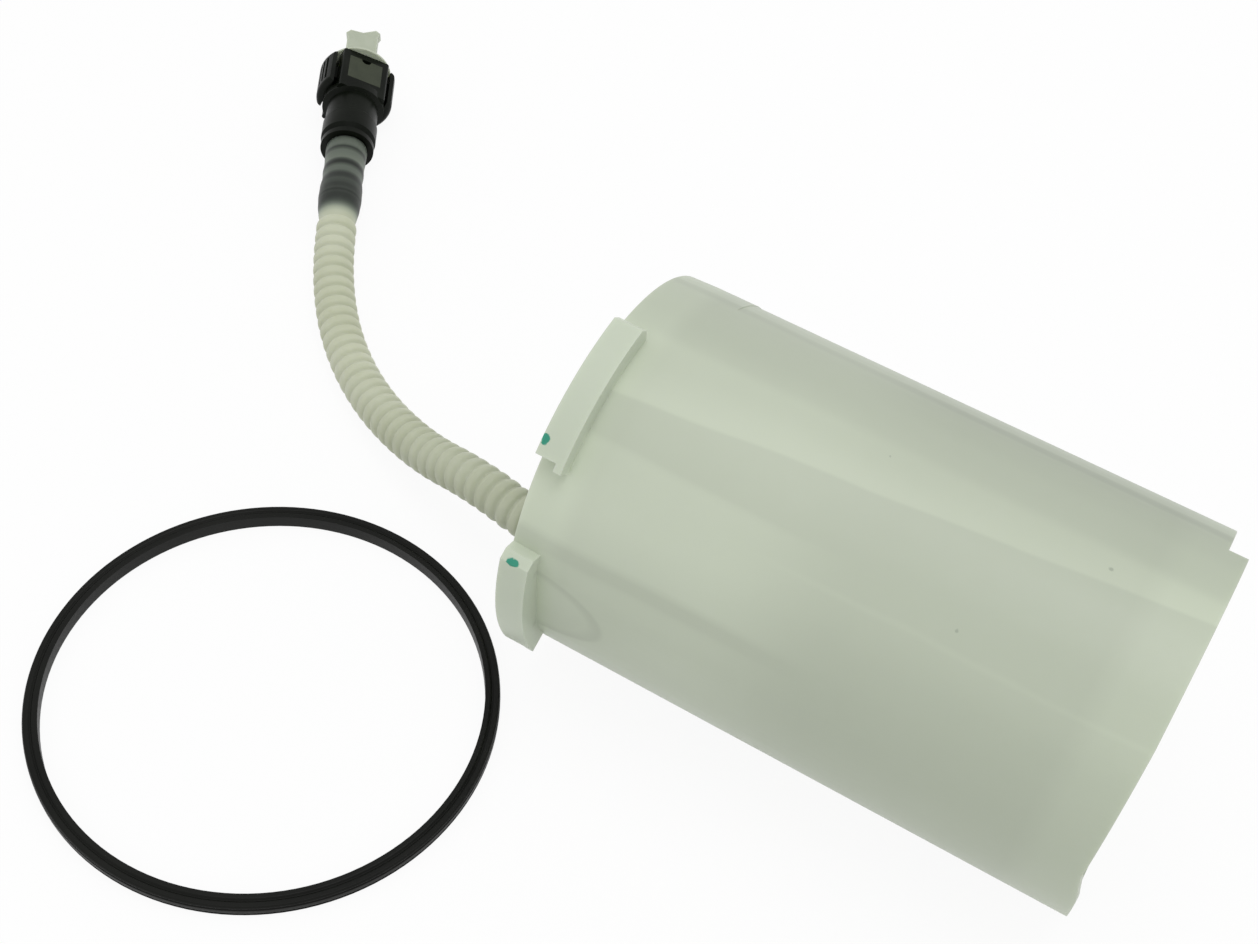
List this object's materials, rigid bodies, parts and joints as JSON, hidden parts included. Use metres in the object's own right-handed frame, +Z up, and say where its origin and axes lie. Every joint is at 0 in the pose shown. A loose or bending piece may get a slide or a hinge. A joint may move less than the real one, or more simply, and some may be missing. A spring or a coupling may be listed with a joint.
{
  "type": "fuel pump module",
  "caption": "In-tank fuel pump in a pale moulded reservoir pot lying on its side, with a corrugated hose, black quick connector, dust plug and loose seal ring.",
  "frame": {"origin": "on the surface the parts lie on, under the middle of the outline of pot and seal ring", "axes": "+X along the pot's axis from its bayonet mouth to its bottom rim, +Z up from the surface, +Y away from the seal ring"},
  "size_m": [0.3551, 0.3042, 0.1103],
  "materials": {
    "natural_plastic": "satin",
    "black_plastic": "satin",
    "grey_plastic": "satin",
    "black_rubber": "matte",
    "green_rubber": "matte",
    "steel": "satin",
    "bronze": "satin",
    "brass": "satin",
    "copper_wire": "satin",
    "carbon": "matte",
    "ferrite": "matte",
    "mesh_cloth": "matte",
    "red_insulation": "satin",
    "black_insulation": "satin",
    "hose_plastic": "satin"
  },
  "bodies": {
    "module": {"reservoir_pot": "natural_plastic", "pot_cover": "natural_plastic", "cover_terminals": "brass", "outlet_seal": "green_rubber", "jet_pump_body": "natural_plastic", "jet_nozzle": "brass", "jet_feed_tube": "hose_plastic", "positive_lead": "red_insulation", "negative_lead": "black_insulation", "pump_holder": "natural_plastic", "lower_isolator": "black_rubber", "upper_isolator": "black_rubber", "strainer_frame": "natural_plastic", "strainer_mesh": "mesh_cloth", "pump_shell": "steel", "pump_inlet_cover": "grey_plastic", "impeller_housing": "grey_plastic", "magnets": "ferrite", "magnet_clips": "steel", "lower_bush": "bronze", "upper_bush": "bronze", "pump_end_cap": "black_plastic", "brushes": "carbon", "brush_springs": "steel", "pump_terminals": "brass", "check_guide": "natural_plastic", "check_spring": "steel", "relief_spring": "steel", "relief_plug": "brass", "seal_ring": "black_rubber", "fuel_hose": "hose_plastic", "connector_body": "black_plastic", "retainer_clip": "grey_plastic", "connector_seals": "green_rubber", "seal_spacer": "grey_plastic", "seal_bush": "grey_plastic"},
    "rotor": {"impeller": "black_plastic", "motor_shaft": "steel", "armature_core": "steel", "armature_windings": "copper_wire", "commutator": "carbon"},
    "check_valve": {"check_plunger": "black_rubber"},
    "relief_valve": {"relief_ball": "steel"},
    "fill_valve": {"first_fill_valve": "black_rubber"},
    "left_release": {"release_wing_left": "black_plastic"},
    "right_release": {"release_wing_right": "black_plastic"},
    "plug": {"dust_plug": "natural_plastic"}
  },
  "joints": [
    {"name": "pump_spin", "type": "hinge", "parent": "module", "child": "rotor", "pos_m": [0.07, 0.03889, 0.0325], "axis": [1, 0, 0], "continuous": true},
    {"name": "check_valve_lift", "type": "slide", "parent": "module", "child": "check_valve", "axis": [-1, 0, 0], "range_m": [0, 0.0018], "stiffness_N_per_m": 150, "springref_m": -0.003, "deforming": ["check_spring"]},
    {"name": "relief_valve_lift", "type": "slide", "parent": "module", "child": "relief_valve", "axis": [-1, 0, 0], "range_m": [0, 0.001], "stiffness_N_per_m": 1200, "springref_m": -0.0015, "deforming": ["relief_spring"]},
    {"name": "fill_valve_lift", "type": "slide", "parent": "module", "child": "fill_valve", "axis": [-1, 0, 0], "range_m": [0, 0.0018], "stiffness_N_per_m": 60, "springref_m": -0.001},
    {"name": "left_release_press", "type": "slide", "parent": "module", "child": "left_release", "axis": [0.7849, 0.4675, -0.4066], "range_m": [0, 0.0014], "stiffness_N_per_m": 3000, "springref_m": -0.0003},
    {"name": "right_release_press", "type": "slide", "parent": "module", "child": "right_release", "axis": [-0.7849, -0.4675, 0.4066], "range_m": [0, 0.0014], "stiffness_N_per_m": 3000, "springref_m": -0.0003},
    {"name": "plug_pull", "type": "slide", "parent": "module", "child": "plug", "axis": [-0.5035, 0.8637, 0.021], "range_m": [0, 0.03]}
  ],
  "couplings": [
    {"joint": "right_release_press", "follows": "left_release_press", "ratio": 1}
  ]
}
